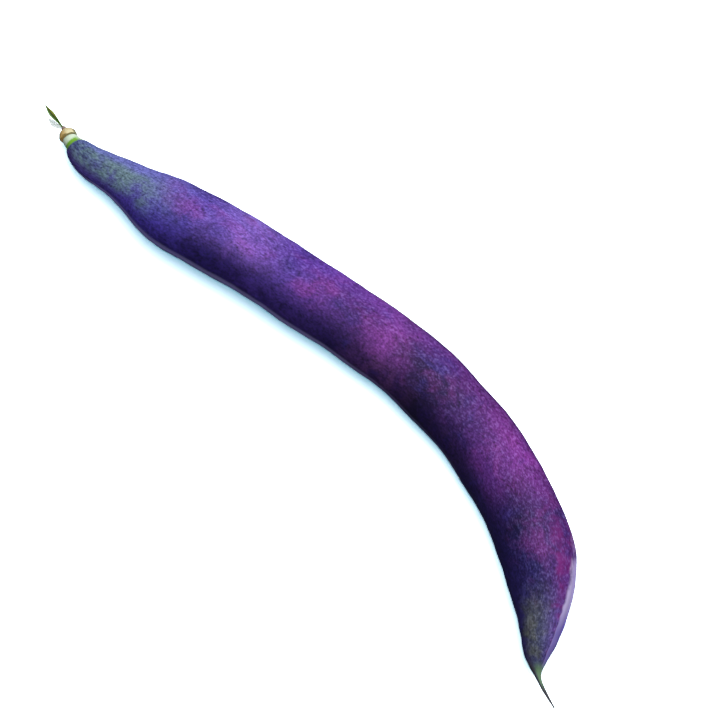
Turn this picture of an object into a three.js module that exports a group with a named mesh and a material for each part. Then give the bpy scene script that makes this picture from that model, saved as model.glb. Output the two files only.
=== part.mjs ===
// A purple pole bean, picked with its calyx, lying on its side.
//
// Millimetres. +X runs from the stem end to the beak, +Y towards the outside of
// the pod's curve, +Z up from the surface that the pod rests on (z = 0).
// The pod is one grown piece. The calyx, the stub of stalk and the two
// bracteoles are the small separate pieces at its stem end.

import * as THREE from "three";
import { mergeVertices } from "three/addons/utils/BufferGeometryUtils.js";

// ---- the pod ---------------------------------------------------------------

// The middle line of the pod, stem end first: x, y and height.
const POD_LINE = [
  [-66.7, -11.7, 2.9], [-65.4, -11.9, 3.3], [-60.6, -12.0, 4.2],
  [-53.7, -10.0, 4.7], [-41.7, -6.7, 5.0], [-26.1, -1.3, 5.1],
  [4.8, 7.0, 5.0], [24.4, 8.2, 5.1], [36.1, 6.6, 5.3],
  [48.0, 3.1, 5.5], [59.4, -4.9, 4.8], [64.8, -10.4, 3.9],
  [68.2, -12.9, 3.3], [74.0, -14.2, 2.5],
];

// [distance along the pod, half its width there]: neck, shoulder, body, beak.
const POD_HALF_WIDTH = [
  [0, 1.5], [1.4, 1.53], [6, 2.86], [11, 3.57], [16, 4.47], [20, 5.54], [25, 6.48],
  [32, 6.78], [60, 6.8], [92, 6.92], [115, 7.07], [123, 6.69], [132, 4.76],
  [138, 3.45], [141.5, 1.95], [144, 0.47], [151, 0.1],
];

// [distance along the pod, thickness over width]: round at both ends, flat between.
const POD_FLATNESS = [[0, 1], [8, 0.92], [26, 0.74], [122, 0.74], [136, 0.85], [143, 1], [151, 1]];

// [distance along the pod, roll in degrees]: the two halves of the pod twist a
// little, so one seam shows above at the stem end and the other at the beak.
const POD_ROLL = [[0, 0], [25, -10], [60, -8], [85, 4], [120, 20], [140, 8], [151, 0]];

const SEEDS_AT = [25, 37.5, 55, 68.5, 83.5, 100.5, 118.5];
const SEED = { height: 0.55, halfLength: 4.6, edgeLobe: 0.35 };
const SEAM = { height: 0.28, halfWidth: 0.75 };
const POD_MESH = { rings: 78, around: 28 };

// ---- the pieces at the stem end ---------------------------------------------

const CALYX = { from: [-67.0, -11.55, 2.72], to: [-68.35, -10.98, 2.2], around: 24 };
// [share of its length from the pod, radius]: a shallow cup with a rolled rim.
const CALYX_PROFILE = [
  [0, 0], [0, 1.5], [0.1, 1.66], [0.35, 1.7], [0.62, 1.58], [0.85, 1.2], [1, 0.7], [1, 0],
];

const STUB_LINE = [[-68.65, -11.1, 2.1], [-69.05, -11.2, 2.1], [-69.5, -11.3, 2.2]];
const STUB_HALF_WIDTH = [[0, 0.5], [0.4, 0.44], [0.86, 0.36]];

const GREEN_BRACTEOLE_LINE = [
  [-69.85, -11.2, 2.35], [-71.0, -11.3, 2.75], [-72.6, -11.3, 3.0], [-74.5, -11.1, 3.1],
];
const GREEN_BRACTEOLE_HALF_WIDTH = [[0, 0.1], [1.2, 0.22], [2.9, 0.46], [3.9, 0.3], [4.75, 0.06]];

const DRY_BRACTEOLE_LINE = [[-69.75, -11.75, 2.05], [-70.8, -12.05, 1.75], [-72.4, -12.1, 1.7]];
const DRY_BRACTEOLE_HALF_WIDTH = [[0, 0.16], [0.9, 0.36], [2, 0.4], [2.7, 0.12]];

const LEAF_HALF_THICKNESS = 0.12;
const SMALL_MESH = { rings: 10, around: 10 };

// ---- curves ------------------------------------------------------------------

const UP = new THREE.Vector3(0, 0, 1);

/** A smooth value at x through [x, value] knots, with each knot's slope from its neighbours. */
function smoothValue(knots, x) {
  const last = knots.length - 1;
  const slope = (i) => {
    const [x0, y0] = knots[Math.max(i - 1, 0)];
    const [x1, y1] = knots[Math.min(i + 1, last)];
    return (y1 - y0) / (x1 - x0);
  };
  const at = THREE.MathUtils.clamp(x, knots[0][0], knots[last][0]);
  let i = 0;
  while (i < last - 1 && at > knots[i + 1][0]) i += 1;
  const [x0, y0] = knots[i];
  const [x1, y1] = knots[i + 1];
  const span = x1 - x0;
  const t = (at - x0) / span;
  const rise = t * t * (3 - 2 * t);
  const startPull = t * (1 - t) * (1 - t) * span * slope(i);
  const endPull = t * t * (1 - t) * span * slope(i + 1);
  return y0 + (y1 - y0) * rise + startPull - endPull;
}

/** A bell-shaped bump: 1 at its centre and 0.37 one half-length away. */
function bump(distance, halfLength) {
  return Math.exp(-((distance / halfLength) ** 2));
}

/** Stations along a smooth line: centre, tangent, sideways and over directions, distance. */
function stationsAlong(points, rings, crowdEnds) {
  const curve = new THREE.CatmullRomCurve3(
    points.map((p) => new THREE.Vector3(...p)), false, "catmullrom", 0.5,
  );
  curve.arcLengthDivisions = 2000;
  const length = curve.getLength();
  const stations = [];
  for (let i = 0; i < rings; i += 1) {
    const even = i / (rings - 1);
    const share = even - (crowdEnds * Math.sin(2 * Math.PI * even)) / (2 * Math.PI);
    const tangent = curve.getTangentAt(share);
    const side = new THREE.Vector3().crossVectors(UP, tangent).normalize();
    const over = new THREE.Vector3().crossVectors(tangent, side);
    stations.push({ centre: curve.getPointAt(share), tangent, side, over, at: share * length });
  }
  return stations;
}

/** One closed skin around a line: rings of points joined into a tube with both ends closed. */
function skin(stations, around, pointAt) {
  const positions = [];
  const faces = [];
  for (const station of stations) {
    for (let k = 0; k < around; k += 1) {
      positions.push(...pointAt(station, (2 * Math.PI * k) / around).toArray());
    }
  }
  const ring = (i, k) => i * around + (k % around);
  for (let i = 0; i < stations.length - 1; i += 1) {
    for (let k = 0; k < around; k += 1) {
      faces.push(ring(i, k), ring(i, k + 1), ring(i + 1, k + 1));
      faces.push(ring(i, k), ring(i + 1, k + 1), ring(i + 1, k));
    }
  }
  const first = positions.length / 3;
  const last = first + 1;
  const end = stations.length - 1;
  positions.push(...stations[0].centre.toArray(), ...stations[end].centre.toArray());
  for (let k = 0; k < around; k += 1) {
    faces.push(first, ring(0, k + 1), ring(0, k));
    faces.push(last, ring(end, k), ring(end, k + 1));
  }
  const geometry = new THREE.BufferGeometry();
  geometry.setAttribute("position", new THREE.Float32BufferAttribute(positions, 3));
  geometry.setIndex(faces);
  geometry.computeVertexNormals();
  return geometry;
}

/** A point on an oval around a station; angle 0 is the side that faces +Y on a level piece. */
function ovalPoint(station, angle, halfWidth, halfThickness) {
  return station.centre.clone()
    .addScaledVector(station.side, halfWidth * Math.cos(angle))
    .addScaledVector(station.over, halfThickness * Math.sin(angle));
}

// ---- the pieces --------------------------------------------------------------

/** Turns a station's sideways and over directions about the pod's line. */
function rolled(station, degrees) {
  const angle = THREE.MathUtils.degToRad(degrees);
  return {
    ...station,
    side: station.side.clone().applyAxisAngle(station.tangent, angle),
    over: station.over.clone().applyAxisAngle(station.tangent, angle),
  };
}

/** The pod's skin: an oval tube with a bump over each seed, a raised seam on each edge. */
function podPoint(station, angle) {
  const halfWidth = smoothValue(POD_HALF_WIDTH, station.at);
  const halfThickness = halfWidth * smoothValue(POD_FLATNESS, station.at);
  const seed = SEEDS_AT.reduce((sum, at) => sum + bump(station.at - at, SEED.halfLength), 0);
  const concaveSide = Math.max(-Math.cos(angle), 0);
  const fromSeam = halfThickness * Math.sin(angle);
  const seam = SEAM.height * bump(fromSeam, SEAM.halfWidth) * Math.min(halfWidth / 6, 1);
  const width = halfWidth + seam + SEED.edgeLobe * seed * concaveSide ** 3;
  const thickness = halfThickness + SEED.height * seed;
  const point = ovalPoint(station, angle, width, thickness);
  point.z = Math.max(point.z, 0);
  return point;
}

function podGeometry() {
  const stations = stationsAlong(POD_LINE, POD_MESH.rings, 0.35)
    .map((station) => rolled(station, smoothValue(POD_ROLL, station.at)));
  return skin(stations, POD_MESH.around, podPoint);
}

/** The dry calyx: a small cup turned about the neck's own line, rim towards the pod. */
function calyxGeometry() {
  const from = new THREE.Vector3(...CALYX.from);
  const to = new THREE.Vector3(...CALYX.to);
  const axis = to.clone().sub(from);
  const length = axis.length();
  const outline = CALYX_PROFILE.map(([share, radius]) => new THREE.Vector2(radius, share * length));
  const lathe = new THREE.LatheGeometry(outline, CALYX.around);
  lathe.applyQuaternion(new THREE.Quaternion().setFromUnitVectors(
    new THREE.Vector3(0, 1, 0), axis.normalize(),
  ));
  lathe.translate(from.x, from.y, from.z);
  lathe.deleteAttribute("normal");
  lathe.deleteAttribute("uv");
  const cup = mergeVertices(lathe, 1e-4);
  cup.computeVertexNormals();
  return cup;
}

/** A round stalk that follows a line. */
function stalkGeometry(points, halfWidths) {
  const stations = stationsAlong(points, SMALL_MESH.rings, 0);
  return skin(stations, SMALL_MESH.around, (station, angle) => {
    const radius = smoothValue(halfWidths, station.at);
    return ovalPoint(station, angle, radius, radius);
  });
}

/** A small flat leaf that follows a line. */
function leafGeometry(points, halfWidths) {
  const stations = stationsAlong(points, SMALL_MESH.rings, 0);
  return skin(stations, SMALL_MESH.around, (station, angle) => {
    const halfWidth = smoothValue(halfWidths, station.at);
    return ovalPoint(station, angle, halfWidth, Math.min(LEAF_HALF_THICKNESS, halfWidth));
  });
}

/** A named mesh in one plain colour. */
function piece(name, geometry, color, roughness) {
  const material = new THREE.MeshStandardMaterial({ color, roughness, metalness: 0 });
  const mesh = new THREE.Mesh(geometry, material);
  mesh.name = name;
  return mesh;
}

const bean = new THREE.Group();
bean.add(
  piece("pod", podGeometry(), 0x5a3a7e, 0.55),
  piece("calyx_cup", calyxGeometry(), 0xd8c79a, 0.75),
  piece("stalk_stub", stalkGeometry(STUB_LINE, STUB_HALF_WIDTH), 0xa08f8c, 0.8),
  piece(
    "green_bracteole",
    leafGeometry(GREEN_BRACTEOLE_LINE, GREEN_BRACTEOLE_HALF_WIDTH),
    0x5e7a34,
    0.6,
  ),
  piece(
    "dry_bracteole",
    leafGeometry(DRY_BRACTEOLE_LINE, DRY_BRACTEOLE_HALF_WIDTH),
    0xd5dcd4,
    0.8,
  ),
);

export default bean;
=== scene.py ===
"""A purple pole bean pod lying on its side, as it looks.

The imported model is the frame: the pod, its calyx, the stub of its stalk and two
bracteoles. Each piece here is modelled at the same place from the same few sizes,
and stands for its node. Sizes are in millimetres until a mesh is made.
"""

import logging
import math
from dataclasses import dataclass
from enum import Enum
from typing import Optional, Sequence, Union

import bpy
import numpy as np
from mathutils import Matrix, Vector


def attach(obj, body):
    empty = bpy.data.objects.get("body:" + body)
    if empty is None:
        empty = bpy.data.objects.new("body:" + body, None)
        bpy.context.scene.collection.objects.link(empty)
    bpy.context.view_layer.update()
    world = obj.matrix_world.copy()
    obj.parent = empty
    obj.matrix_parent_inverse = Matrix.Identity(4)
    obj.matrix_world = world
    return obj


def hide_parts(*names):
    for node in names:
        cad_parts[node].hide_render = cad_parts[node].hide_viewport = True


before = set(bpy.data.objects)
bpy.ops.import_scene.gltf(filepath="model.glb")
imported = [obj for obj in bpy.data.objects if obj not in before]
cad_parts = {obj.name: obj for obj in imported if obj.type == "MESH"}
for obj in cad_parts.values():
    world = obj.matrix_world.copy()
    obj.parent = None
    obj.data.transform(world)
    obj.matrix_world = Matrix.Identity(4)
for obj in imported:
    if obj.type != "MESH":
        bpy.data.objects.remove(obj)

LOG = logging.getLogger("pole_bean")
MM = 0.001
BODY = "root"
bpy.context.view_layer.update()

Colour = tuple[int, int, int]
Point = tuple[float, float, float]
Stop = tuple[float, Colour]
Span = tuple[float, float]


class Side(Enum):
    """The two long edges of the pod, by the way that they face."""

    CONVEX = 1
    CONCAVE = -1


class Fall(Enum):
    """How a pull on the skin dies away around the point that is pulled."""

    ROUND = "SMOOTH"
    SHARP = "SHARP"


# ---- shared helpers ----------------------------------------------------------


@dataclass(frozen=True)
class Knots:
    """A smooth run of values through a few (distance, value) pairs."""

    pairs: tuple[tuple[float, float], ...]

    def at(self, distance: Union[float, np.ndarray]) -> np.ndarray:
        """Reads the run.

        Args:
            distance: One distance or an array of them, held inside the run's ends.

        Returns:
            The value at each distance.
        """
        xs, ys = np.array(self.pairs, float).T
        slopes = np.empty(len(xs))
        slopes[1:-1] = (ys[2:] - ys[:-2]) / (xs[2:] - xs[:-2])
        slopes[0] = (ys[1] - ys[0]) / (xs[1] - xs[0])
        slopes[-1] = (ys[-1] - ys[-2]) / (xs[-1] - xs[-2])
        x = np.clip(distance, xs[0], xs[-1])
        i = np.clip(np.searchsorted(xs, x, side="right") - 1, 0, len(xs) - 2)
        span = xs[i + 1] - xs[i]
        t = (x - xs[i]) / span
        rise = t * t * (3 - 2 * t)
        pull = t * (1 - t) ** 2 * slopes[i] - t * t * (1 - t) * slopes[i + 1]
        return ys[i] + (ys[i + 1] - ys[i]) * rise + span * pull


def bell(distance: np.ndarray, half_length: float) -> np.ndarray:
    """A bell-shaped bump: 1 at its centre, 0.37 one half-length away."""
    return np.exp(-((distance / half_length) ** 2))


def paint(colour: Colour) -> tuple[float, float, float, float]:
    """Turns a 0 to 255 display colour into the linear colour that a shader takes."""
    linear = [c / 255 / 12.92 if c <= 10 else ((c / 255 + 0.055) / 1.055) ** 2.4 for c in colour]
    return (*linear, 1.0)


def select_nothing() -> None:
    """Deselects everything, so that the next operator reaches no other piece."""
    bpy.ops.object.select_all(action="DESELECT")
    bpy.context.view_layer.objects.active = None


def select_only(piece: bpy.types.Object) -> None:
    """Deselects everything but one piece and makes it the active one."""
    select_nothing()
    piece.select_set(True)
    bpy.context.view_layer.objects.active = piece


def points_of(piece: bpy.types.Object) -> np.ndarray:
    """The piece's vertices as rows of x, y and z in metres."""
    flat = np.empty(len(piece.data.vertices) * 3)
    piece.data.vertices.foreach_get("co", flat)
    return flat.reshape(-1, 3)


def pick(piece: bpy.types.Object, chosen: np.ndarray) -> None:
    """Selects a piece's vertices by a mask, and enters edit mode on them.

    Args:
        piece: The piece, in object mode.
        chosen: One true or false value for each vertex.
    """
    select_only(piece)
    bpy.ops.object.mode_set(mode="EDIT")
    bpy.ops.mesh.select_mode(type="VERT")
    bpy.ops.mesh.select_all(action="DESELECT")
    bpy.ops.object.mode_set(mode="OBJECT")
    piece.data.vertices.foreach_set("select", np.asarray(chosen, bool))
    bpy.ops.object.mode_set(mode="EDIT")


def apply_modifier(piece: bpy.types.Object, kind: str, **settings: object) -> None:
    """Adds one modifier to a piece and applies it.

    Args:
        piece: The piece to change.
        kind: The modifier's type, such as SUBSURF.
        settings: The modifier's own settings by name.
    """
    modifier = piece.modifiers.new(kind.lower(), kind)
    for name, value in settings.items():
        setattr(modifier, name, value)
    select_only(piece)
    bpy.ops.object.modifier_apply(modifier=modifier.name)


def smooth_levels(piece: bpy.types.Object, levels: int) -> None:
    """Subdivides a piece smoothly, with the same levels for view and render."""
    apply_modifier(piece, "SUBSURF", levels=levels, render_levels=levels)


def ruffle(piece: bpy.types.Object, size: float, depth: float) -> None:
    """Makes a surface gently uneven.

    Args:
        piece: The piece, in its straight state.
        size: The bumps' size in millimetres.
        depth: How far they reach from low to high, in millimetres.
    """
    cloud = bpy.data.textures.new(f"{piece.name}_unevenness", "CLOUDS")
    cloud.noise_scale = size * MM
    cloud.noise_depth = 2
    apply_modifier(
        piece, "DISPLACE", texture=cloud, texture_coords="LOCAL", strength=depth * MM, mid_level=0.5
    )
    bpy.data.textures.remove(cloud)


@dataclass(frozen=True)
class Line:
    """The middle line of a grown piece, with its roll along the way."""

    points: tuple[Point, ...]
    roll: Optional[Knots] = None

    def curve(self) -> bpy.types.Object:
        """Makes the line as a Bezier curve that passes smoothly through its points.

        Returns:
            The curve's object, in metres, for a Curve modifier.
        """
        data = bpy.data.curves.new("middle_line", "CURVE")
        data.dimensions = "3D"
        data.twist_mode = "Z_UP"
        data.resolution_u = 48
        spline = data.splines.new("BEZIER")
        spline.bezier_points.add(len(self.points) - 1)
        at = [Vector(p) * MM for p in self.points]
        before = [at[0] * 2 - at[1], *at[:-1]]
        after = [*at[1:], at[-1] * 2 - at[-2]]
        walked = 0.0
        for i, knot in enumerate(spline.bezier_points):
            pull = (after[i] - before[i]) / 6
            knot.handle_left_type = knot.handle_right_type = "FREE"
            knot.co, knot.handle_left, knot.handle_right = at[i], at[i] - pull, at[i] + pull
            walked += (at[i] - at[i - 1]).length / MM if i else 0.0
            if self.roll:
                knot.tilt = math.radians(float(self.roll.at(walked)))
        curve = bpy.data.objects.new("middle_line", data)
        bpy.context.collection.objects.link(curve)
        return curve

    def length(self) -> float:
        """The line's length in millimetres."""
        curve = self.curve()
        length = curve.data.splines[0].calc_length() / MM
        bpy.data.objects.remove(curve)
        return length

    def bend(self, piece: bpy.types.Object) -> None:
        """Bends a piece that is modelled straight along X onto the line."""
        curve = self.curve()
        apply_modifier(piece, "CURVE", object=curve, deform_axis="POS_X")
        bpy.data.objects.remove(curve)


def draw_tube(name: str, around: int, stations: Sequence[Point]) -> bpy.types.Object:
    """Models a closed tube straight along X, ring by ring.

    Args:
        name: The new piece's name.
        around: How many vertices each ring has.
        stations: Each ring's distance, half width and half thickness, in millimetres.

    Returns:
        The tube, with a vertex of each ring facing +Y and another facing -Y.
    """
    select_nothing()
    start, width, thickness = stations[0]
    bpy.ops.mesh.primitive_circle_add(
        vertices=around, radius=MM, fill_type="NGON", rotation=(0, math.pi / 2, 0)
    )
    piece = bpy.context.object
    piece.name = piece.data.name = name
    bpy.ops.object.transform_apply(location=False, rotation=True, scale=False)
    bpy.ops.object.mode_set(mode="EDIT")
    bpy.ops.mesh.select_all(action="SELECT")
    bpy.ops.transform.translate(value=(start * MM, 0, 0))
    at = (start * MM, 0, 0)
    bpy.ops.transform.resize(value=(1, width, thickness), center_override=at)
    for (x0, w0, t0), (x1, w1, t1) in zip(stations, stations[1:]):
        bpy.ops.mesh.extrude_region_move(TRANSFORM_OT_translate={"value": ((x1 - x0) * MM, 0, 0)})
        at = (x1 * MM, 0, 0)
        bpy.ops.transform.resize(value=(1, w1 / w0, t1 / t0), center_override=at)
    bpy.ops.mesh.select_all(action="SELECT")
    bpy.ops.mesh.normals_make_consistent(inside=False)
    bpy.ops.object.mode_set(mode="OBJECT")
    return piece


def pull(
    piece: bpy.types.Object, near: Point, move: Point, reach: float, fall: Fall = Fall.ROUND
) -> None:
    """Pulls the skin at one place, and less and less around it.

    Args:
        piece: The piece, in object mode.
        near: The place in millimetres; the vertex nearest to it is pulled.
        move: How far it moves, in millimetres.
        reach: How far around it the skin follows, in millimetres.
        fall: How the pull dies away.
    """
    distance = np.linalg.norm(points_of(piece) - np.array(near) * MM, axis=1)
    pick(piece, distance == distance.min())
    bpy.ops.transform.translate(
        value=Vector(move) * MM,
        use_proportional_edit=True,
        proportional_edit_falloff=fall.value,
        proportional_size=reach * MM,
    )
    bpy.ops.object.mode_set(mode="OBJECT")


def note(piece: bpy.types.Object, name: str, values: np.ndarray) -> None:
    """Keeps a number or a vector for each vertex, for the piece's material to read.

    Args:
        piece: The piece.
        name: The attribute's name.
        values: One row for each vertex.
    """
    kind, field = ("FLOAT", "value") if values.ndim == 1 else ("FLOAT_VECTOR", "vector")
    attribute = piece.data.attributes.new(name, kind, "POINT")
    attribute.data.foreach_set(field, np.ascontiguousarray(values, np.float32).ravel())


def hand_over(piece: bpy.types.Object, node: str, finish: bpy.types.Material) -> None:
    """Dresses a finished piece and puts it in its node's place.

    Args:
        piece: The finished piece.
        node: The CAD node that it stands for.
        finish: Its material.
    """
    piece.data.materials.clear()
    piece.data.materials.append(finish)
    select_only(piece)
    bpy.ops.object.shade_smooth()
    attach(piece, BODY)
    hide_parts(node)
    LOG.info("%s: %d faces, stands for %s", piece.name, len(piece.data.polygons), node)


# ---- shader maths --------------------------------------------------------------


class Wire:
    """A shader socket that takes part in sums as a number does."""

    def __init__(self, graph: "Graph", socket: bpy.types.NodeSocket) -> None:
        """Keeps the graph that the sums' nodes are added to, and the socket."""
        self.graph = graph
        self.socket = socket

    def _sum(self, operation: str, *terms: "Term") -> "Wire":
        """Adds one Math node with its operation and terms."""
        return self.graph.node("ShaderNodeMath", {"operation": operation}, dict(enumerate(terms)))

    def __add__(self, other: "Term") -> "Wire":
        """The sum of two values."""
        return self._sum("ADD", self, other)

    __radd__ = __add__

    def __sub__(self, other: "Term") -> "Wire":
        """This value less another."""
        return self._sum("SUBTRACT", self, other)

    def __rsub__(self, other: "Term") -> "Wire":
        """Another value less this one."""
        return self._sum("SUBTRACT", other, self)

    def __mul__(self, other: "Term") -> "Wire":
        """The product of two values."""
        return self._sum("MULTIPLY", self, other)

    def __truediv__(self, other: "Term") -> "Wire":
        """This value over another."""
        return self._sum("DIVIDE", self, other)

    def __abs__(self) -> "Wire":
        """The value without its sign."""
        return self._sum("ABSOLUTE", self)

    def step(self, low: float, high: float) -> "Wire":
        """A smooth step: 0 below low, 1 above high; a falling one if low is above high."""
        return self.graph.node(
            "ShaderNodeMapRange",
            {"interpolation_type": "SMOOTHSTEP"},
            {"Value": self, "From Min": low, "From Max": high, "To Min": 0.0, "To Max": 1.0},
        )


Term = Union[Wire, float, Sequence[float]]


class Graph:
    """A material's node tree, built one node at a time."""

    def __init__(self, name: str) -> None:
        """Starts an empty material with its output."""
        self.material = bpy.data.materials.new(name)
        self.material.use_nodes = True
        self.tree = self.material.node_tree
        self.tree.nodes.clear()

    def node(
        self, kind: str, settings: dict[str, object], inputs: dict, output: Union[str, int] = 0
    ) -> Wire:
        """Adds any node.

        Args:
            kind: The node's type.
            settings: Its settings by name, set first; a ramp's stops go under "stops".
            inputs: A number, colour or wire for each socket, by name or by place.
            output: The output socket that is wanted, by name or by place.

        Returns:
            That output as a wire.
        """
        made = self.tree.nodes.new(kind)
        for name, value in settings.items():
            if name == "stops":
                self._set_stops(made, value)
            else:
                setattr(made, name, value)
        for name, value in inputs.items():
            if isinstance(value, Wire):
                self.tree.links.new(value.socket, made.inputs[name])
            else:
                made.inputs[name].default_value = value
        return Wire(self, made.outputs[output])

    @staticmethod
    def _set_stops(ramp: bpy.types.Node, stops: Sequence[Stop]) -> None:
        """Gives a colour ramp its stops."""
        elements = ramp.color_ramp.elements
        while len(elements) < len(stops):
            elements.new(0.5)
        for element, (place, colour) in zip(elements, stops):
            element.position = place
            element.color = paint(colour)

    def attribute(self, name: str) -> Wire:
        """A number that the piece keeps for each vertex."""
        return self.node("ShaderNodeAttribute", {"attribute_name": name}, {}, "Fac")

    def vector(self, name: str) -> Wire:
        """A vector that the piece keeps for each vertex."""
        return self.node("ShaderNodeAttribute", {"attribute_name": name}, {}, "Vector")

    def ramp(self, place: Wire, stops: Sequence[Stop]) -> Wire:
        """A colour that changes with a value from 0 to 1."""
        return self.node("ShaderNodeValToRGB", {"stops": stops}, {"Fac": place})

    def stretch(self, vector: Wire, scale: Point) -> Wire:
        """A vector scaled along each of its axes."""
        return self.node("ShaderNodeVectorMath", {"operation": "MULTIPLY"}, {0: vector, 1: scale})

    def part(self, vector: Wire, axis: str) -> Wire:
        """One of a vector's three numbers."""
        return self.node("ShaderNodeSeparateXYZ", {}, {0: vector}, axis)

    def noise(
        self, vector: Wire, size: float, detail: float = 2.0, rough: float = 0.5, warp: float = 0.0
    ) -> Wire:
        """Soft random mottling.

        Args:
            vector: Where on the surface, in millimetres.
            size: The mottles' size in millimetres.
            detail: How many finer layers are added.
            rough: How strong the finer layers are.
            warp: How far the mottles are drawn out of shape.

        Returns:
            A value that wanders round 0.5.
        """
        inputs = {
            "Vector": vector,
            "Scale": 1 / size,
            "Detail": detail,
            "Roughness": rough,
            "Distortion": warp,
        }
        return self.node("ShaderNodeTexNoise", {}, inputs)

    def mix(self, share: Term, first: Term, second: Term) -> Wire:
        """A mix of two colours.

        Args:
            share: How much of the second colour, 0 to 1.
            first: A wire or a linear colour.
            second: A wire or a linear colour.

        Returns:
            The mixed colour.
        """
        settings = {"data_type": "RGBA", "clamp_factor": True}
        return self.node("ShaderNodeMix", settings, {0: share, 6: first, 7: second}, 2)

    def tint(self, share: Term, base: Term, colour: Colour) -> Wire:
        """A base colour, drawn towards a plain one by a share."""
        return self.mix(share, base, paint(colour))

    def lighten(self, colour: Wire, gain: Wire) -> Wire:
        """A colour made lighter or darker by a gain round 1."""
        return self.node("ShaderNodeVectorMath", {"operation": "SCALE"}, {0: colour, "Scale": gain})

    def bump(self, height: Wire, depth: float, strength: float) -> Wire:
        """A surface normal from a height.

        Args:
            height: The height, 0 to 1.
            depth: How deep 1 is, in millimetres.
            strength: How much of it shows.

        Returns:
            The normal.
        """
        inputs = {"Strength": strength, "Distance": depth * MM, "Height": height}
        return self.node("ShaderNodeBump", {}, inputs)

    def surface(self, inputs: dict) -> bpy.types.Material:
        """Ends the material in one shader with the values and wires given."""
        shader = self.node("ShaderNodeBsdfPrincipled", {}, inputs)
        self.node_output(shader)
        return self.material

    def node_output(self, shader: Wire) -> None:
        """Links a shader to the material's output."""
        output = self.tree.nodes.new("ShaderNodeOutputMaterial")
        self.tree.links.new(shader.socket, output.inputs["Surface"])


# ---- finishes --------------------------------------------------------------------


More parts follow.
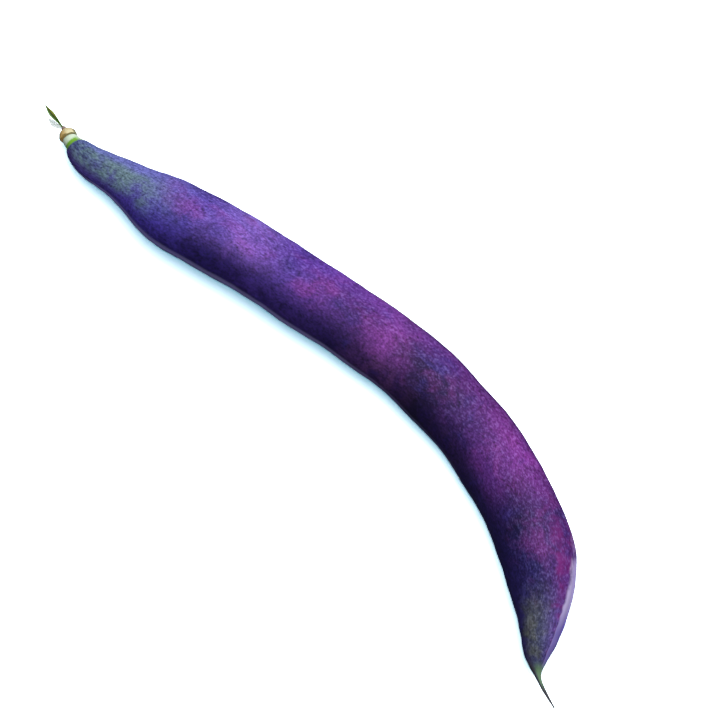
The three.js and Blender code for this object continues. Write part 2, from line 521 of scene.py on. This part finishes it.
@dataclass(frozen=True)
class PodSkin:
    """Violet skin with magenta over the seeds, a slate-green neck and a green beak.

    Its colour holds painted light and shade: a lighter convex side, a darker concave side,
    and painted highlights over the seeds and on the pale seam near the beak.
    """

    # The ramps along the pod for its convex edge, its middle and its concave edge. The convex ramp is
    # painted lighter as the lit side and the concave ramp darker as painted shade; the stops along each
    # also hold painted light and shade.
    convex: tuple[Stop, ...] = (
        (0.0, (114, 132, 190)),
        (0.12, (120, 118, 206)),
        (0.2, (114, 86, 196)),
        (0.26, (152, 118, 222)),
        (0.33, (108, 66, 184)),
        (0.4, (122, 66, 178)),
        (0.48, (134, 66, 166)),
        (0.54, (98, 48, 138)),
        (0.6, (114, 46, 138)),
        (0.7, (146, 60, 166)),
        (0.77, (66, 36, 108)),
        (0.84, (106, 48, 140)),
        (0.89, (106, 84, 164)),
        (0.95, (88, 74, 136)),
    )
    middle: tuple[Stop, ...] = (
        (0.03, (72, 80, 138)),
        (0.13, (106, 102, 182)),
        (0.2, (86, 66, 166)),
        (0.26, (144, 96, 200)),
        (0.32, (98, 62, 166)),
        (0.38, (104, 52, 150)),
        (0.43, (80, 40, 124)),
        (0.48, (136, 60, 158)),
        (0.53, (50, 25, 84)),
        (0.57, (48, 26, 84)),
        (0.61, (84, 40, 120)),
        (0.7, (98, 42, 132)),
        (0.77, (34, 23, 75)),
        (0.83, (50, 38, 108)),
        (0.92, (80, 84, 116)),
    )
    # The darker concave ramp: painted shade on the side away from the light.
    concave: tuple[Stop, ...] = (
        (0.03, (86, 66, 148)),
        (0.14, (74, 56, 160)),
        (0.24, (42, 26, 98)),
        (0.32, (66, 42, 124)),
        (0.42, (44, 26, 86)),
        (0.49, (90, 50, 106)),
        (0.56, (26, 13, 52)),
        (0.62, (48, 25, 74)),
        (0.7, (44, 28, 84)),
        (0.8, (34, 22, 84)),
        (0.9, (54, 44, 112)),
        (0.95, (76, 66, 116)),
    )
    # Magenta over the seeds: the skin's own colour and painted highlight on the seed bulges.
    seed_magenta_and_highlight: Colour = (150, 60, 156)
    # Dark indigo; between the seeds it is partly painted shade.
    dark_mottle: Colour = (30, 14, 72)
    pale_speck: Colour = (172, 164, 220)
    indigo: Colour = (72, 60, 158)
    slate_green: Colour = (108, 138, 130)
    olive: Colour = (114, 118, 98)
    # Pale lilac of the seam ridge, made brighter as painted highlight.
    seam_pale_and_highlight: Colour = (226, 208, 255)
    seam_rim: Colour = (128, 108, 200)
    seam_grey: Colour = (152, 140, 192)
    maroon: Colour = (156, 38, 142)
    neck_white: Colour = (240, 255, 226)
    neck_green: Colour = (138, 200, 60)
    beak_green: Colour = (124, 158, 116)
    beak_brown: Colour = (80, 76, 82)
    roughness: float = 0.62
    specular: float = 0.22
    # The mottles' sizes in millimetres, from the widest clouds to the finest grain.
    cloud_size: float = 9.0
    haze_size: float = 5.2
    blotch_size: float = 3.2
    grain_size: float = 0.52
    fine_size: float = 0.27
    grain_depth: float = 0.06
    # Where each of these starts or ends along the pod, as the share of its length.
    white_ring_end: Span = (0.0095, 0.0065)
    green_ring_end: Span = (0.0165, 0.0125)
    slate_end: Span = (0.17, 0.12)
    fleck_start: Span = (0.72, 0.82)
    pale_lit_seam_start: Span = (0.77, 0.85)
    olive_start: Span = (0.82, 0.91)
    rim_start: Span = (0.862, 0.9)
    beak_shade_start: Span = (0.925, 0.945)
    beak_start: Span = (0.932, 0.947)
    pale_lit_seam_end: Span = (0.96, 0.93)
    beak_dry_start: Span = (0.955, 0.975)

    def make(self) -> bpy.types.Material:
        """Builds the material.

        Returns:
            The pod's skin, which reads the pod's own straight coordinates.
        """
        g = Graph("pod_skin")
        place = g.vector("line")
        share = g.part(place, "X") / Pod.length
        facing = g.attribute("facing")
        seed = g.attribute("seed")
        cloud = g.noise(place, self.cloud_size, 3.0, 0.55) - 0.5
        blotch = g.noise(place, self.blotch_size, 3.0, 0.6, 0.4) - 0.5
        long_place = g.stretch(place, (0.8, 1.1, 1.1))
        haze = g.noise(long_place, self.haze_size, 4.0, 0.62, 0.5) - 0.5
        drawn = g.stretch(place, (0.6, 1.0, 1.0))
        grain = g.noise(drawn, self.grain_size, 1.5, 0.6)
        fine = g.noise(drawn, self.fine_size, 1.0, 0.5)

        wandering = share + cloud * 0.06
        lean = facing + cloud * 0.5 + blotch * 0.35
        # Across the pod the colour goes from the middle ramp to the lighter convex ramp and to the
        # darker concave ramp: painted light and shade.
        colour = g.mix(lean.step(0.0, 0.85), g.ramp(wandering, self.middle), g.ramp(share, self.convex))
        colour = g.mix(lean.step(-0.12, -0.78), colour, g.ramp(share, self.concave))

        body = share.step(0.1, 0.2)
        # Magenta over the seeds, fading out towards the concave side: partly the skin's colour, partly
        # painted highlight on the lit seed bulges.
        rosy_and_highlight = (seed * 0.4 + blotch * 1.1 + haze * 2.0).step(0.0, 0.75) * body
        colour = g.tint(rosy_and_highlight * lean.step(-0.8, 0.1) * 0.48, colour, self.seed_magenta_and_highlight)
        colour = g.tint(haze.step(-0.04, -0.22) * body * 0.36, colour, self.indigo)
        # Dark mottles, kept off the seeds and stronger towards the concave side: random mottling, and
        # painted shade below the seed bulges and on the shaded side.
        mottle_and_shade_between_seeds = (blotch * 1.8 - haze * 1.4 - seed * 0.5).step(-0.3, 0.4) * body
        colour = g.tint(mottle_and_shade_between_seeds * (0.4 + lean.step(0.1, -0.6) * 0.35), colour, self.dark_mottle)

        greenish = (blotch * 1.6 + cloud + (grain - 0.5) * 0.6).step(-0.4, 0.35)
        neckward = (share + cloud * 0.05).step(*self.slate_end) * share.step(0.008, 0.03)
        across = lean.step(0.7, 0.25) * lean.step(-0.85, -0.35)
        colour = g.tint(neckward * greenish * across * 0.78, colour, self.slate_green)
        beakward = share.step(*self.olive_start) * across
        colour = g.tint(beakward * greenish * 0.65, colour, self.olive)

        colour = g.lighten(colour, 1 + (grain - 0.5) * 1.5 + (fine - 0.5) * 1.7)
        # Pale specks, kept off the concave side so that its painted shade stays dark.
        specks_off_shaded_side = (grain * 0.5 + fine * 0.5).step(0.48, 0.7) * lean.step(-0.8, 0.4)
        colour = g.tint(specks_off_shaded_side * 0.22, colour, self.pale_speck)
        colour = self._seams(g, colour, share, facing, blotch)
        colour = self._ends(g, colour, share, facing, fine)

        height = grain * 0.5 + fine * 0.5
        return g.surface(
            {
                "Base Color": colour,
                "Roughness": grain * 0.16 + (self.roughness - 0.08),
                "Specular IOR Level": self.specular,
                "Normal": g.bump(height, self.grain_depth, 0.5),
            }
        )

    def _seams(self, g: Graph, colour: Wire, share: Wire, facing: Wire, blotch: Wire) -> Wire:
        """Draws the pale seam, whose band near the beak is also painted highlight, with maroon flecks
        beside it, and the concave side's grey strand.
        """
        # The pale band on the convex seam near the beak is a paler ridge with painted highlight on it,
        # toned violet at its rim and towards the beak.
        near_edge = (facing + blotch * 0.16 + share * 2 - 1.72).step(0.85, 0.93)
        pale_lit_band = near_edge * (share + blotch * 0.1).step(*self.pale_lit_seam_start)
        flecks = (facing + blotch * 0.6).step(0.5, 0.8) * share.step(*self.fleck_start)
        colour = g.tint(flecks * blotch.step(-0.16, 0.2) * 0.55, colour, self.maroon)
        pale_lit_band = pale_lit_band * share.step(*self.pale_lit_seam_end)
        colour = g.tint(pale_lit_band * 0.9, colour, self.seam_pale_and_highlight)
        rim = facing.step(0.975, 0.995) * 0.4 + share.step(*self.rim_start) * 0.85
        colour = g.tint(pale_lit_band * rim, colour, self.seam_rim)
        edge = facing.step(0.985, 0.998) * share.step(0.78, 0.7)
        colour = g.tint(edge * 0.6, colour, self.dark_mottle)
        strand = (0 - facing).step(0.97, 0.996) * share.step(0.02, 0.05)
        along = share.step(0.52, 0.42) * 0.3 + 0.25
        return g.tint(strand * along, colour, self.seam_grey)

    def _ends(self, g: Graph, colour: Wire, share: Wire, facing: Wire, fine: Wire) -> Wire:
        """Colours the neck's pale and green rings, and the beak from green to brown."""
        ragged = share + (fine - 0.5) * 0.004
        ring = g.tint(facing.step(0.9, 0.3), paint(self.neck_white), self.neck_green)
        reach = ragged - facing.step(0.4, 0.95) * 0.005
        colour = g.mix(reach.step(*self.green_ring_end), colour, ring)
        colour = g.tint(ragged.step(*self.white_ring_end), colour, self.neck_white)
        green = ragged.step(*self.beak_start) * facing.step(-0.6, 0.2)
        colour = g.tint(green * 0.9, colour, self.beak_green)
        # The beak's concave side turns brown as painted shade.
        shade = ragged.step(*self.beak_shade_start) * facing.step(-0.2, -0.7)
        colour = g.tint(shade, colour, self.beak_brown)
        return g.tint(ragged.step(*self.beak_dry_start), colour, self.beak_brown)


@dataclass(frozen=True)
class DryHusk:
    """Dry cream calyx, tan in its folds and brown at one side of its rim."""

    cream: Colour = (255, 240, 190)
    tan: Colour = (240, 188, 94)
    brown: Colour = (168, 120, 62)
    green: Colour = (108, 122, 84)
    roughness: float = 0.62

    def make(self) -> bpy.types.Material:
        """Builds the material, which reads the calyx's own straight coordinates."""
        g = Graph("dry_husk")
        place = g.vector("line")
        fibres = g.noise(g.stretch(place, (0.35, 1.0, 1.0)), 0.28, 4.0, 0.65)
        patch = g.noise(place, 1.1, 2.0, 0.5)
        side = (patch - 0.5) * 1.2 - g.part(place, "Y")
        colour = g.mix((fibres + patch * 0.6).step(0.74, 1.15), paint(self.cream), paint(self.tan))
        colour = g.tint(side.step(0.1, -1.2) * 0.8, colour, self.tan)
        colour = g.tint(side.step(-1.0, -1.6) * fibres.step(0.35, 0.6) * 0.8, colour, self.brown)
        colour = g.tint(side.step(0.8, 1.5) * 0.75, colour, self.green)
        return g.surface(
            {
                "Base Color": colour,
                "Roughness": self.roughness,
                "Normal": g.bump(fibres, 0.12, 0.8),
            }
        )


@dataclass(frozen=True)
class StalkBark:
    """Dry pinkish grey stalk, darker where it is torn."""

    skin: Colour = (176, 150, 144)
    torn: Colour = (104, 78, 74)
    roughness: float = 0.7

    def make(self) -> bpy.types.Material:
        """Builds the material, which reads the stub's own straight coordinates."""
        g = Graph("stalk_bark")
        place = g.vector("line")
        fibres = g.noise(g.stretch(place, (0.3, 1.0, 1.0)), 0.12, 3.0, 0.6)
        colour = g.mix(fibres.step(0.4, 0.7), paint(self.skin), paint(self.torn))
        return g.surface(
            {"Base Color": colour, "Roughness": self.roughness, "Normal": g.bump(fibres, 0.05, 0.8)}
        )


@dataclass(frozen=True)
class LeafBlade:
    """A small leaf: a darker colour inside its fold as painted shade, another on its margins, and a
    painted glow of light on one half towards its tip.
    """

    name: str
    margin: Colour
    fold: Colour
    glow: Colour
    roughness: float
    alpha: float = 1.0

    def make(self) -> bpy.types.Material:
        """Builds the material, which reads the leaf's own straight coordinates."""
        g = Graph(self.name)
        place = g.vector("line")
        veins = g.noise(g.stretch(place, (0.25, 1.0, 1.0)), 0.1, 3.0, 0.6)
        across = g.attribute("across")
        # The blade is darker inside its fold: painted shade in the crease.
        colour = g.mix(abs(across).step(0.75, 0.25), paint(self.margin), paint(self.fold))
        # A glow on one half of the blade towards its tip: painted light.
        painted_glow = g.part(place, "X").step(1.6, 3.0) * across.step(0.1, -0.6)
        colour = g.tint(painted_glow * 0.8, colour, self.glow)
        colour = g.tint(veins.step(0.5, 0.75) * 0.4, colour, self.margin)
        return g.surface(
            {
                "Base Color": colour,
                "Roughness": self.roughness,
                "Alpha": self.alpha,
                "Normal": g.bump(veins, 0.04, 0.8),
            }
        )


# Each blade's fold colour is painted shade and its glow colour painted light.
GREEN_BLADE = LeafBlade("green_blade", (118, 162, 66), (38, 62, 14), (176, 176, 62), 0.5)
PAPER_BLADE = LeafBlade("paper_blade", (255, 255, 252), (246, 250, 240), (252, 252, 244), 0.6, 0.6)


# ---- the pieces --------------------------------------------------------------------


@dataclass
class Pod:
    """The pod: one grown piece from its narrow neck to its thin beak."""

    line: Line = Line(
        (
            (-66.7, -11.7, 2.9), (-65.4, -11.9, 3.3), (-60.6, -11.9, 4.2),
            (-53.8, -9.8, 4.7), (-41.8, -6.5, 5.0), (-26.2, -1.2, 5.1),
            (4.8, 7.1, 5.0), (24.4, 8.3, 5.1), (36.1, 6.7, 5.3),
            (48.0, 3.2, 5.5), (54.3, -0.5, 5.3), (59.5, -4.8, 4.8), (64.6, -10.5, 3.9),
            (68.2, -12.9, 3.3), (73.8, -14.1, 2.5),
        ),
        Knots(((0, 0), (25, -10), (60, -8), (85, 4), (120, 20), (140, 8), (151, 0))),
    )
    half_width: Knots = Knots(
        (
            (0, 1.5), (1.4, 1.55), (3, 2.38), (6, 3.1), (11, 3.65), (16, 4.62), (20, 5.8), (25, 6.72),
            (32, 7.05), (50, 6.95), (70, 6.75), (92, 6.72), (115, 6.95), (123, 6.87), (127, 6.25),
            (132, 4.8), (138, 3.2), (141.5, 1.66), (143.5, 0.68), (146, 0.38), (148, 0.26), (151, 0.12),
        )
    )
    flatness: Knots = Knots(
        ((0, 1), (8, 0.92), (26, 0.74), (122, 0.74), (136, 0.85), (143, 1), (151, 1))
    )
    seeds_at: tuple[float, ...] = (25, 37.5, 55, 68.5, 83.5, 100.5, 118.5)
    seed_rise: float = 0.6
    seed_reach: float = 9.0
    lobe: float = 0.32
    seam_rise: float = 0.34
    seam_from: float = 7.0
    seam_to: float = 136.0
    # The seam's strand and the grooves beside it, as heights over the half width.
    strand: Span = (0.0, 0.04)
    groove: Span = (0.04, 0.16)
    groove_depth: float = 0.102
    # Each unevenness of the skin: its bumps' size and their depth.
    unevenness: tuple[Span, ...] = ((7.0, 0.4), (1.6, 0.1))
    # The half size of the coloured patch over a seed, which is partly painted highlight, and its shift
    # to the convex edge.
    seed_patch: float = 4.6
    seed_patch_shift: float = 0.8
    rings: int = 100
    ring_crowding: float = 0.55
    around: int = 48
    length: float = 150.9

    def model(self) -> bpy.types.Object:
        """Models the pod straight, then bends it onto its line and lays it down.

        Returns:
            The finished mesh, with its straight coordinates kept for its skin.
        """
        pod = draw_tube("bean_pod", self.around, self._stations())
        self._swell_over_seeds(pod)
        self._raise_seam(pod, Side.CONVEX)
        self._raise_seam(pod, Side.CONCAVE)
        smooth_levels(pod, 2)
        self._keep_places(pod)
        for size, depth in self.unevenness:
            ruffle(pod, size, depth)
        self.line.bend(pod)
        self._press_flat(pod)
        return pod

    def _stations(self) -> list[Point]:
        """Rings close together at both ends and wider apart between."""
        even = np.linspace(0, 1, self.rings)
        crowded = even - self.ring_crowding * np.sin(2 * np.pi * even) / (2 * np.pi)
        places = self.line.length() * crowded
        widths = self.half_width.at(places)
        return list(zip(places, widths, widths * self.flatness.at(places)))

    def _swell_over_seeds(self, pod: bpy.types.Object) -> None:
        """Raises the skin over each seed, above and below, and its lobe on the concave edge."""
        for at in self.seeds_at:
            edge = float(self.half_width.at(at))
            face = edge * float(self.flatness.at(at))
            for way in (1, -1):
                pull(pod, (at, 0, way * face), (0, 0, way * self.seed_rise), self.seed_reach)
            pull(pod, (at, -edge, 0), (0, -self.lobe, 0), self.seed_reach)

    def _raise_seam(self, pod: bpy.types.Object, side: Side) -> None:
        """Raises the seam's strand between two shallow grooves along one edge."""
        at = points_of(pod) / MM
        edge = self.half_width.at(at[:, 0])
        along = (at[:, 0] > self.seam_from) & (at[:, 0] < self.seam_to)
        on_edge = along & (at[:, 1] * side.value > edge * 0.9)
        height = np.abs(at[:, 2]) / edge
        for (low, high), rise in ((self.strand, self.seam_rise), (self.groove, -self.groove_depth)):
            pick(pod, on_edge & (height >= low) & (height < high))
            bpy.ops.transform.translate(value=(0, rise * side.value * MM, 0))
            bpy.ops.object.mode_set(mode="OBJECT")

    def _keep_places(self, pod: bpy.types.Object) -> None:
        """Keeps where each point lies on the straight pod, for the skin's pattern and for its painted
        light and shade.
        """
        at = points_of(pod) / MM
        edge = self.half_width.at(at[:, 0])
        face = edge * self.flatness.at(at[:, 0])
        turn = np.arctan2(at[:, 2] / face, at[:, 1] / edge)
        seed = sum(bell(at[:, 0] - place, self.seed_patch) for place in self.seeds_at)
        seed = seed * bell(at[:, 1] - self.seed_patch_shift, self.seed_patch)
        note(pod, "line", at)
        note(pod, "facing", np.cos(turn))
        note(pod, "seed", seed)

    def _press_flat(self, pod: bpy.types.Object) -> None:
        """Presses what reaches below the surface flat onto it."""
        pick(pod, points_of(pod)[:, 2] < 0)
        bpy.ops.transform.resize(value=(1, 1, 0), center_override=(0, 0, 0))
        bpy.ops.object.mode_set(mode="OBJECT")

    def build(self) -> None:
        """Models and dresses the pod."""
        hand_over(self.model(), "pod", PodSkin().make())


@dataclass
class Calyx:
    """The dry calyx: a small crinkled cup round the neck's end."""

    start: Point = (-66.88, -11.8, 2.85)
    end: Point = (-68.48, -11.1, 2.2)
    # Share of its length from the pod, and radius: from inside the rim, over it, to the stub.
    profile: tuple[tuple[float, float], ...] = (
        (0.25, 1.28), (0.06, 1.46), (0.0, 1.62), (0.1, 1.72), (0.3, 1.72), (0.55, 1.6),
        (0.8, 1.28), (0.95, 0.85), (1.0, 0.5), (1.0, 0.2),
    )
    rim_radius: float = 1.62
    teeth: int = 5
    tooth: float = 0.22
    tooth_reach: float = 0.8
    first_tooth: float = 0.3
    crinkle: Span = (0.5, 0.16)
    around: int = 40

    def build(self) -> None:
        """Models and dresses the calyx."""
        start, end = Vector(self.start), Vector(self.end)
        length = (end - start).length
        stations = [(share * length, radius, radius) for share, radius in self.profile]
        cup = draw_tube("calyx", self.around, stations)
        for k in range(self.teeth):
            turn = 2 * math.pi * (k + self.first_tooth) / self.teeth
            at = (0, self.rim_radius * math.cos(turn), self.rim_radius * math.sin(turn))
            pull(cup, at, (-self.tooth, 0, 0), self.tooth_reach, Fall.SHARP)
        smooth_levels(cup, 2)
        note(cup, "line", points_of(cup) / MM)
        ruffle(cup, *self.crinkle)
        turn_to = (end - start).to_track_quat("X", "Z").to_matrix().to_4x4()
        cup.matrix_world = Matrix.Translation(start * MM) @ turn_to
        select_only(cup)
        bpy.ops.object.transform_apply(location=True, rotation=True, scale=False)
        hand_over(cup, "calyx_cup", DryHusk().make())


@dataclass
class StalkStub:
    """The short stub of stalk, with a ragged broken end."""

    line: Line = Line(((-68.35, -11.05, 2.15), (-68.9, -11.2, 2.1), (-69.5, -11.3, 2.2)))
    half_width: Knots = Knots(((0, 0.52), (0.5, 0.44), (1.0, 0.4), (1.2, 0.2)))
    raggedness: Span = (0.25, 0.16)
    rings: int = 9
    around: int = 16

    def build(self) -> None:
        """Models and dresses the stub."""
        places = np.linspace(0, self.line.length(), self.rings)
        widths = self.half_width.at(places)
        stub = draw_tube("stub_of_stalk", self.around, list(zip(places, widths, widths)))
        smooth_levels(stub, 2)
        note(stub, "line", points_of(stub) / MM)
        ruffle(stub, *self.raggedness)
        self.line.bend(stub)
        hand_over(stub, "stalk_stub", StalkBark().make())


@dataclass
class Bracteole:
    """A small bract: a blade folded along its middle, on a thread of a stalk."""

    name: str
    node: str
    slot: str
    line: Line
    half_width: Knots
    fold: float
    finish: LeafBlade
    thickness: float = 0.09
    least_width: float = 0.01
    wrinkle: float = 0.5
    rings: int = 22
    strips: int = 6

    def build(self) -> None:
        """Models the blade flat, folds it, bends it onto its line and dresses it."""
        length = self.line.length()
        select_nothing()
        bpy.ops.mesh.primitive_grid_add(
            x_subdivisions=self.rings, y_subdivisions=self.strips, size=2 * MM
        )
        blade = bpy.context.object
        blade.name = blade.data.name = self.name
        self._spread(blade, length)
        self._shape(blade)
        at = points_of(blade) / MM
        width = np.maximum(self.half_width.at(at[:, 0]), self.least_width)
        note(blade, "across", at[:, 1] / width)
        note(blade, "line", at)
        apply_modifier(blade, "SOLIDIFY", thickness=self.thickness * MM, offset=0.0)
        smooth_levels(blade, 2)
        ruffle(blade, self.wrinkle, self.thickness / 2)
        self.line.bend(blade)
        hand_over(blade, self.node, self.finish.make())

    def _spread(self, blade: bpy.types.Object, length: float) -> None:
        """Draws the square grid out to the blade's length, from its foot at X = 0."""
        select_only(blade)
        bpy.ops.object.mode_set(mode="EDIT")
        bpy.ops.mesh.select_all(action="SELECT")
        bpy.ops.transform.translate(value=(MM, 0, 0))
        bpy.ops.transform.resize(value=(length / 2, 1, 1), center_override=(0, 0, 0))
        bpy.ops.object.mode_set(mode="OBJECT")

    def _shape(self, blade: bpy.types.Object) -> None:
        """Narrows each row to the blade's outline and raises its margins."""
        at = points_of(blade)
        for place in np.unique(np.round(at[:, 0], 7)):
            row = np.abs(at[:, 0] - place) < 1e-6
            width = max(float(self.half_width.at(place / MM)), self.least_width)
            pick(blade, row)
            bpy.ops.transform.resize(value=(1, width, 1), center_override=(place, 0, 0))
            bpy.ops.object.mode_set(mode="OBJECT")
        height = self.fold * np.abs(points_of(blade)[:, 1])
        for step in np.unique(np.round(height, 7)):
            pick(blade, np.abs(height - step) < 1e-6)
            bpy.ops.transform.translate(value=(0, 0, float(step)))
            bpy.ops.object.mode_set(mode="OBJECT")


GREEN_BRACTEOLE = Bracteole(
    name="bracteole_green",
    node="green_bracteole",
    slot="green_leaf",
    line=Line(
        ((-69.4, -11.25, 2.25), (-71.0, -11.3, 2.75), (-72.6, -11.3, 3.0), (-74.5, -11.1, 3.1))
    ),
    half_width=Knots(((0, 0.14), (1.3, 0.26), (2.9, 0.5), (3.8, 0.42), (4.6, 0.2), (5.25, 0.06))),
    fold=0.7,
    finish=GREEN_BLADE,
)
DRY_BRACTEOLE = Bracteole(
    name="bracteole_dry",
    node="dry_bracteole",
    slot="papery_leaf",
    line=Line(((-69.35, -11.55, 2.1), (-70.8, -12.0, 1.75), (-72.4, -12.1, 1.7))),
    half_width=Knots(((0, 0.18), (0.9, 0.46), (2.1, 0.52), (3.1, 0.16))),
    fold=0.35,
    finish=PAPER_BLADE,
    thickness=0.07,
)


# ---- the studio ------------------------------------------------------------------------


@dataclass
class Studio:
    """A pale floor, soft light from the pod's convex side, and a camera that looks down.

    The floor and the light are in metres. The camera's lengths, its aim in its own
    right and up directions, and the floor's gap are in millimetres; turns are in degrees.
    """

    chord_turn: float = 49.4
    tilt: float = 76.0
    distance: float = 1500.0
    frame_width: float = 133.3
    sensor: float = 36.0
    aim: tuple[float, float] = (1.7, 1.2)
    key_power: float = 17.0
    key_size: float = 1.7
    key_distance: float = 1.1
    key_rise: float = 66.0
    sky: tuple[float, float, float, float] = (0.62, 0.88, 1.0, 1.0)
    sky_strength: float = 0.14
    seen_sky: tuple[float, float, float, float] = (1.0, 1.0, 1.0, 1.0)
    floor_size: float = 2.4
    floor_gap: float = 0.05
    shade_tint: Colour = (52, 127, 151)
    floor_brightness: float = 3.2
    floor_bounce: Colour = (98, 98, 118)

    def build(self) -> None:
        """Sets up the floor, the lights, the camera and the plain look of the picture."""
        self._lay_floor()
        self._hang_lights()
        self._place_camera()
        bpy.context.scene.view_settings.view_transform = "Standard"

    def _ways(self) -> tuple[Vector, Vector]:
        """The directions on the floor that are right and up in the camera's view."""
        turn = math.radians(self.chord_turn)
        right = Vector((math.cos(turn), math.sin(turn), 0))
        return right, Vector((-right.y, right.x, 0))

    def _lay_floor(self) -> None:
        """Lays a wide pale floor whose shade stays light, and that throws little light back."""
        select_nothing()
        bpy.ops.mesh.primitive_plane_add(size=self.floor_size, location=(0, 0, -self.floor_gap * MM))
        floor = bpy.context.object
        floor.name = "studio_floor"
        g = Graph("pale_floor")
        bright = (self.floor_brightness,) * 3 + (1.0,)
        pale = g.node("ShaderNodeBsdfDiffuse", {}, {"Color": bright})
        glow = g.node("ShaderNodeEmission", {}, {"Color": paint(self.shade_tint)})
        seen = g.node("ShaderNodeAddShader", {}, {0: pale, 1: glow})
        bounced = g.node("ShaderNodeBsdfDiffuse", {}, {"Color": paint(self.floor_bounce)})
        looked_at = g.node("ShaderNodeLightPath", {}, {}, "Is Camera Ray")
        g.node_output(g.node("ShaderNodeMixShader", {}, {0: looked_at, 1: bounced, 2: seen}))
        floor.data.materials.append(g.material)

    def _hang_lights(self) -> None:
        """Hangs one large soft light above the convex side, under a pale blue sky."""
        right, up = self._ways()
        rise = math.radians(self.key_rise)
        towards = (right + up).normalized() * math.cos(rise) + Vector((0, 0, math.sin(rise)))
        light = bpy.data.lights.new("soft_key", "AREA")
        light.energy, light.size = self.key_power, self.key_size
        key = bpy.data.objects.new("soft_key", light)
        key.location = towards * self.key_distance
        key.rotation_euler = towards.to_track_quat("Z", "Y").to_euler()
        bpy.context.collection.objects.link(key)
        world = bpy.data.worlds.new("pale_sky")
        world.use_nodes = True
        tree = world.node_tree
        lit = tree.nodes["Background"]
        lit.inputs["Color"].default_value = self.sky
        lit.inputs["Strength"].default_value = self.sky_strength
        seen = tree.nodes.new("ShaderNodeBackground")
        seen.inputs["Color"].default_value = self.seen_sky
        mixed = tree.nodes.new("ShaderNodeMixShader")
        looked_at = tree.nodes.new("ShaderNodeLightPath")
        tree.links.new(looked_at.outputs["Is Camera Ray"], mixed.inputs[0])
        tree.links.new(lit.outputs[0], mixed.inputs[1])
        tree.links.new(seen.outputs[0], mixed.inputs[2])
        tree.links.new(mixed.outputs[0], tree.nodes["World Output"].inputs["Surface"])
        bpy.context.scene.world = world

    def _place_camera(self) -> None:
        """Aims a long lens down at the pod, with the pod's line slanting down to the right."""
        right, up = self._ways()
        tilt = math.radians(self.tilt)
        aim = (right * self.aim[0] + up * self.aim[1]) * MM
        away = Vector((0, 0, math.sin(tilt))) - up * math.cos(tilt)
        lens = bpy.data.cameras.new("looking_down")
        lens.sensor_width = self.sensor
        lens.lens = self.sensor * self.distance / self.frame_width
        camera = bpy.data.objects.new("looking_down", lens)
        camera.location = aim + away * self.distance * MM
        camera.rotation_euler = away.to_track_quat("Z", "Y").to_euler()
        bpy.context.collection.objects.link(camera)
        bpy.context.scene.camera = camera


def main() -> None:
    """Builds the studio and each piece of the bean in order."""
    logging.basicConfig(level=logging.INFO, format="%(name)s: %(message)s")
    Studio().build()
    Pod().build()
    Calyx().build()
    StalkStub().build()
    GREEN_BRACTEOLE.build()
    DRY_BRACTEOLE.build()


if __name__ == "__main__":
    main()
